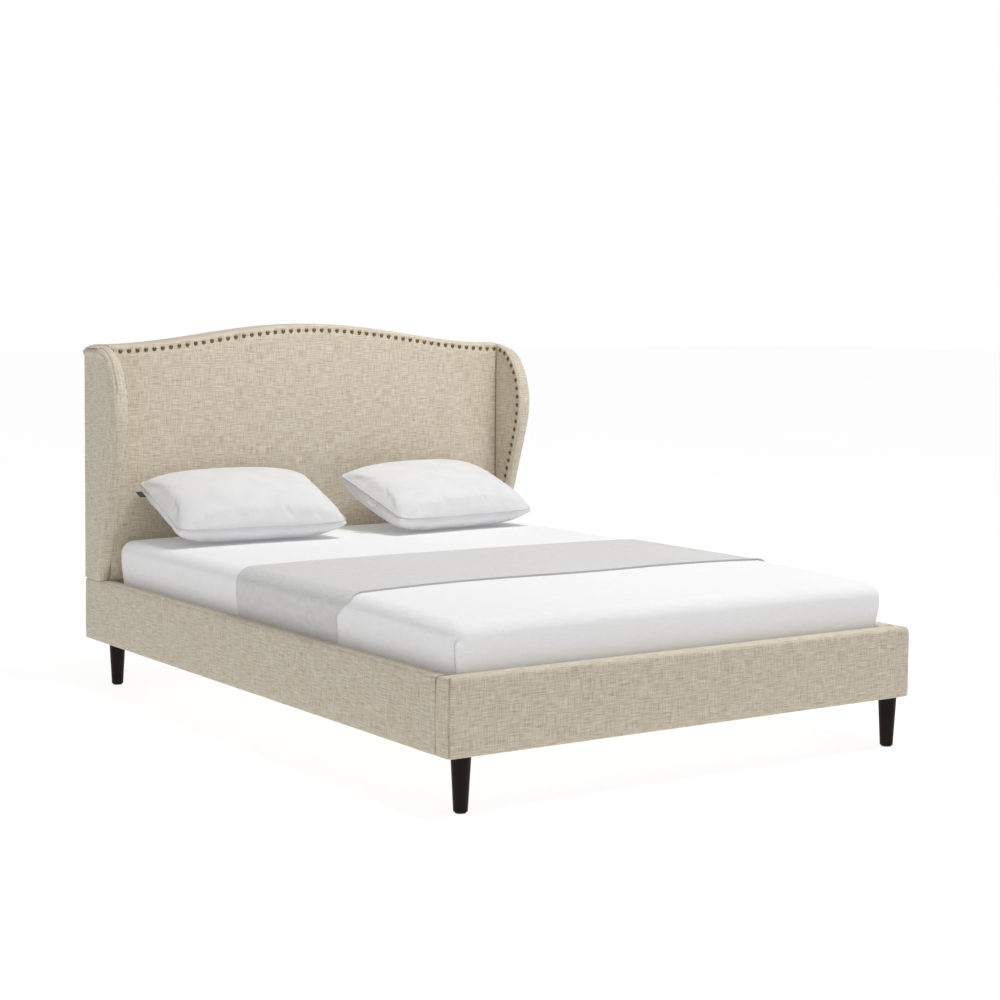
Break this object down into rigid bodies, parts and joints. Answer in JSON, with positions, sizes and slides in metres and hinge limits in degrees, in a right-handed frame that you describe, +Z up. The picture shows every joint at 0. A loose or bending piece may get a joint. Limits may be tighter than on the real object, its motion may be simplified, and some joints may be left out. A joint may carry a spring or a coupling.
{
  "type": "upholstered bed",
  "caption": "Padded platform bed with a camel-back headboard, flared wings, nail-head trim, turned legs, slatted base, mattress, bedding and pillows.",
  "frame": {"origin": "on the floor, under the middle of the bed", "axes": "+Y towards the headboard, +Z up, +X to the right seen from the foot"},
  "size_m": [1.6744, 2.25, 1.22],
  "materials": {
    "linen": "oatmeal linen-look weave with darker slubs",
    "foam": "cut polyurethane foam",
    "pine": "sawn and planed softwood",
    "plywood": "birch plywood and laminated board",
    "espresso_wood": "espresso lacquer, satin",
    "bronze_nails": "antique bronze",
    "zinc_steel": "zinc plated",
    "black_steel": "black powder coat",
    "glide_plastic": "hard plastic",
    "webbing": "woven polypropylene tape",
    "mattress_ticking": "knitted ticking",
    "white_cotton": "plain white cotton percale",
    "grey_cotton": "warm light grey, the coverlet underside",
    "pillow_cotton": "white cotton with a faint small jacquard",
    "label_tape": "blank woven tape"
  },
  "bodies": {
    "frame": {"beam_shoes": "black_steel", "centre_beam": "black_steel", "centre_leg_glides": "glide_plastic", "centre_legs": "espresso_wood", "corner_blocks": "pine", "corner_brackets": "zinc_steel", "foot_rail_board": "plywood", "foot_rail_cover": "linen", "foot_rail_foam": "foam", "frame_bolts": "zinc_steel", "head_rail_board": "plywood", "head_rail_cover": "linen", "head_rail_foam": "foam", "headboard_back_board": "plywood", "headboard_back_cloth": "linen", "headboard_bottom_rail": "pine", "headboard_cover": "linen", "headboard_foam": "foam", "headboard_front_board": "plywood", "headboard_nails_left": "bronze_nails", "headboard_nails_right": "bronze_nails", "headboard_posts": "pine", "headboard_studs": "pine", "headboard_top_rail": "pine", "ledge_screws": "zinc_steel", "leg_bolts": "zinc_steel", "leg_foot_left": "espresso_wood", "leg_foot_right": "espresso_wood", "leg_glides": "glide_plastic", "leg_head_left": "espresso_wood", "leg_head_right": "espresso_wood", "post_bolts": "zinc_steel", "side_rail_board_left": "plywood", "side_rail_board_right": "plywood", "side_rail_cover_left": "linen", "side_rail_cover_right": "linen", "side_rail_foam_left": "foam", "side_rail_foam_right": "foam", "slat_ledge_left": "pine", "slat_ledge_right": "pine", "slat_straps": "webbing", "slats": "pine", "wing_board_left": "plywood", "wing_board_right": "plywood", "wing_bolts": "zinc_steel", "wing_cover_left": "linen", "wing_cover_right": "linen", "wing_foam_left": "foam", "wing_foam_right": "foam", "wing_nails_left": "bronze_nails", "wing_nails_right": "bronze_nails"},
    "mattress_set": {"mattress": "mattress_ticking", "fitted_sheet": "white_cotton", "coverlet": "white_cotton", "coverlet_turnback": "grey_cotton"},
    "left_pillow": {"pillow_left": "pillow_cotton", "pillow_label_left": "label_tape"},
    "right_pillow": {"pillow_right": "pillow_cotton", "pillow_label_right": "label_tape"}
  },
  "joints": [
    {"name": "mattress_lift", "type": "slide", "parent": "frame", "child": "mattress_set", "axis": [0, 0, 1], "range_m": [0, 0.3]},
    {"name": "left_pillow_lift", "type": "slide", "parent": "mattress_set", "child": "left_pillow", "axis": [0, 0, 1], "range_m": [0, 0.25]},
    {"name": "right_pillow_lift", "type": "slide", "parent": "mattress_set", "child": "right_pillow", "axis": [0, 0, 1], "range_m": [0, 0.25]}
  ]
}
